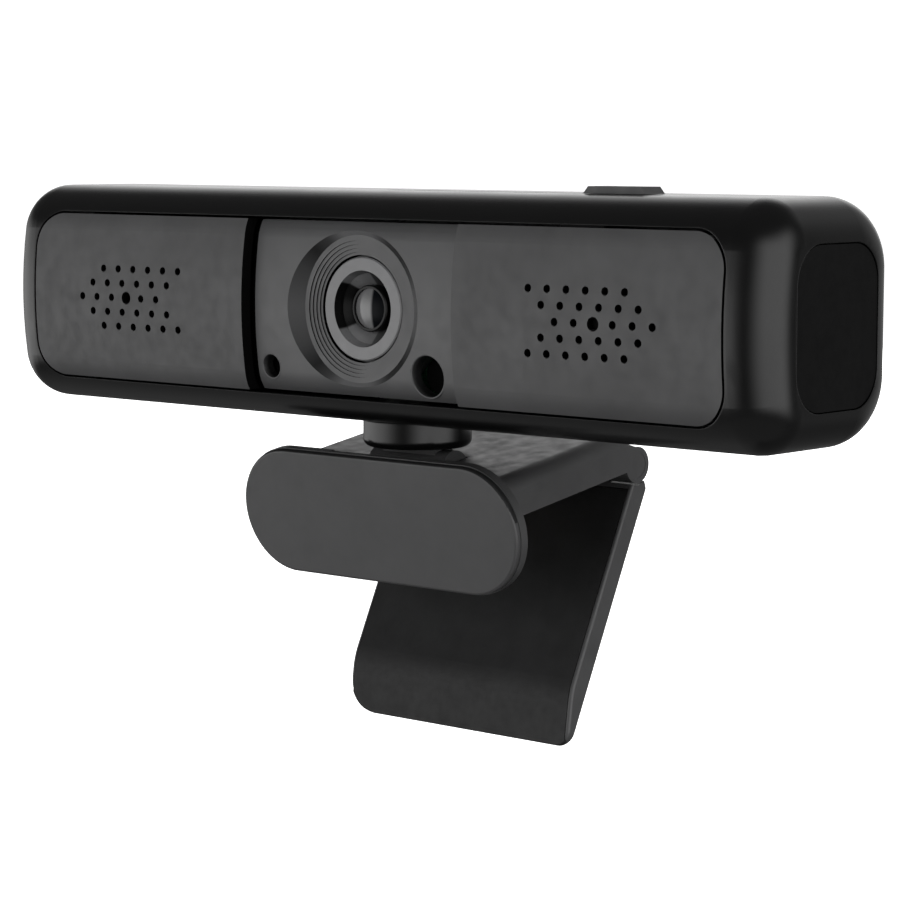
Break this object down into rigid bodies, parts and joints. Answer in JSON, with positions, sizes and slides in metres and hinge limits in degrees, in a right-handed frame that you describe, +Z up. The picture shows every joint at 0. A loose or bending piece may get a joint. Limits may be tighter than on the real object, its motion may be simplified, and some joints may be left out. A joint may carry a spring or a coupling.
{
  "type": "clip-on webcam",
  "caption": "Bar-shaped webcam with sliding privacy shutter on a turning, tilting neck and a folding monitor clip with rubber grips.",
  "frame": {"origin": "on the rubber face under the clip's arm, at the centre of its width: the face that rests on a monitor's top edge", "axes": "+X to the right as seen by someone facing the camera, -Y out of the lens, +Z up; the arm rises 9.5 degrees towards +Y at rest"},
  "size_m": [0.1204, 0.036, 0.0678],
  "materials": {
    "housing_gloss": "high gloss black",
    "panel_satin": "fine satin dark grey",
    "inset_matt": "flat black",
    "ring_grey": "satin mid grey",
    "lens_black": "black, semi-gloss",
    "optical_glass": "coated lens glass",
    "clip_satin": "satin dark grey",
    "rubber_black": "soft matt rubber",
    "board_green": "solder mask",
    "chip_black": "moulded package",
    "flex_amber": "polyimide film",
    "led_clear": "clear package",
    "mic_metal": "drawn can",
    "steel_screw": "zinc plated",
    "acetal_black": "black acetal",
    "plate_satin": "satin dark grey, a shade lighter than the grilles",
    "brass_insert": "turned brass"
  },
  "bodies": {
    "clip": {"clip_arm": "clip_satin", "arm_base_plate": "clip_satin", "arm_grip_pad": "rubber_black", "tripod_insert": "brass_insert", "front_plate": "clip_satin", "face_sheet": "clip_satin", "front_grip_pad": "rubber_black", "tilt_pin": "steel_screw", "hinge_pin": "clip_satin", "base_screw_left": "steel_screw", "base_screw_right": "steel_screw", "plate_screw_left": "steel_screw", "plate_screw_right": "steel_screw", "hinge_washer_left": "steel_screw", "hinge_washer_right": "steel_screw"},
    "neck": {"tilt_knuckle": "clip_satin", "neck_collar": "housing_gloss", "swivel_washer": "steel_screw", "swivel_screw": "steel_screw"},
    "privacy_shutter": {"shutter_plate": "inset_matt", "shutter_knob": "clip_satin"},
    "rear_leg": {"clip_leg": "clip_satin", "leg_pad": "rubber_black"},
    "camera_head": {"body_shell": "housing_gloss", "cable_grommet": "rubber_black", "camera_board": "board_green", "controller_chip": "chip_black", "cover_screw_1": "steel_screw", "cover_screw_2": "steel_screw", "cover_screw_3": "steel_screw", "cover_screw_4": "steel_screw", "end_cap_left": "inset_matt", "end_cap_right": "inset_matt", "flex_cable": "flex_amber", "front_lens": "optical_glass", "grille_panel_left": "panel_satin", "grille_panel_right": "panel_satin", "image_sensor": "chip_black", "ir_filter": "optical_glass", "led_board": "board_green", "led_window": "lens_black", "lens_barrel": "lens_black", "lens_holder": "lens_black", "lens_plate": "plate_satin", "lens_trim_ring": "ring_grey", "light_sensor": "chip_black", "main_board": "board_green", "microphone_boot_left": "rubber_black", "microphone_boot_right": "rubber_black", "microphone_left": "mic_metal", "microphone_right": "mic_metal", "pan_bush": "acetal_black", "rear_cover": "inset_matt", "rear_lens": "optical_glass", "sensor_window": "lens_black", "status_led": "led_clear"}
  },
  "joints": [
    {"name": "tilt", "type": "hinge", "parent": "clip", "child": "neck", "pos_m": [0, -0.00575, 0.0032], "axis": [1, 0, 0], "range_deg": [-5, 15]},
    {"name": "pan", "type": "hinge", "parent": "neck", "child": "camera_head", "pos_m": [0, -0.00575, 0.0088], "axis": [0, 0, 1], "continuous": true},
    {"name": "shutter", "type": "slide", "parent": "camera_head", "child": "privacy_shutter", "axis": [1, 0, 0], "range_m": [-0.032, 0]},
    {"name": "leg", "type": "hinge", "parent": "clip", "child": "rear_leg", "pos_m": [0, 0.01468, 0.00317], "axis": [1, 0, 0], "range_deg": [-34, 50]}
  ]
}
